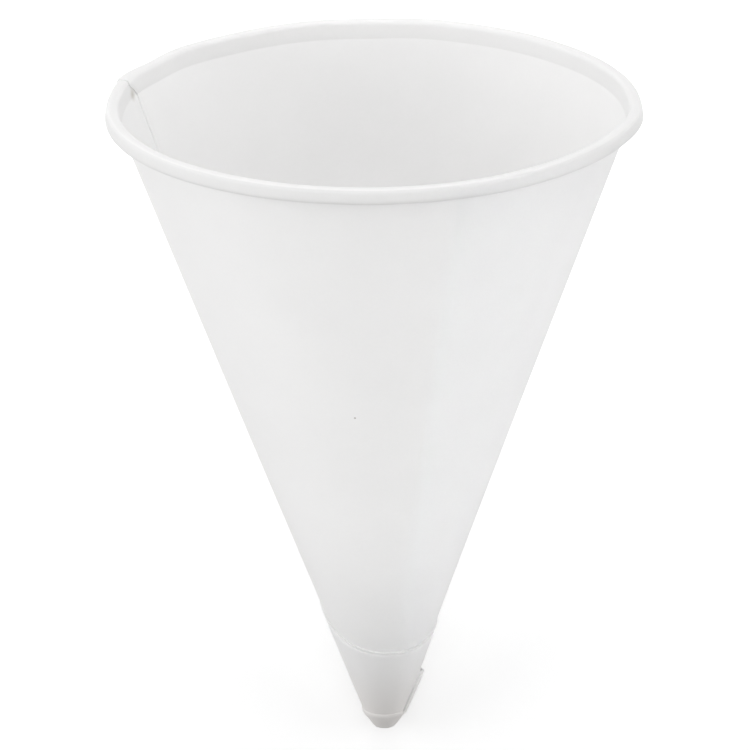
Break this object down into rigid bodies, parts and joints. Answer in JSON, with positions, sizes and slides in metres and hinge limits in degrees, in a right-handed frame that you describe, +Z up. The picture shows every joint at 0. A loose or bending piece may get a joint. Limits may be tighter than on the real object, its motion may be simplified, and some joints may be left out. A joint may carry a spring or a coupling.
{
  "type": "cone paper cup",
  "caption": "White cone-shaped paper drinking cup with a rolled rim and a pressed blunt tip, wound from a sheet with a lapped seam; lies on its side.",
  "frame": {"origin": "bottom centre of the bounding box, on the surface that the cup lies on", "axes": "+Z up; +Y along the cup as it lies, from its tip to its mouth; +X across the mouth, to the right in the picture. The side that faces the camera in the picture faces up."},
  "size_m": [0.073, 0.1006, 0.0688],
  "materials": {
    "paper": "matte, uncoated white paper"
  },
  "bodies": {
    "root": {"cone_cup": "paper"}
  },
  "joints": []
}
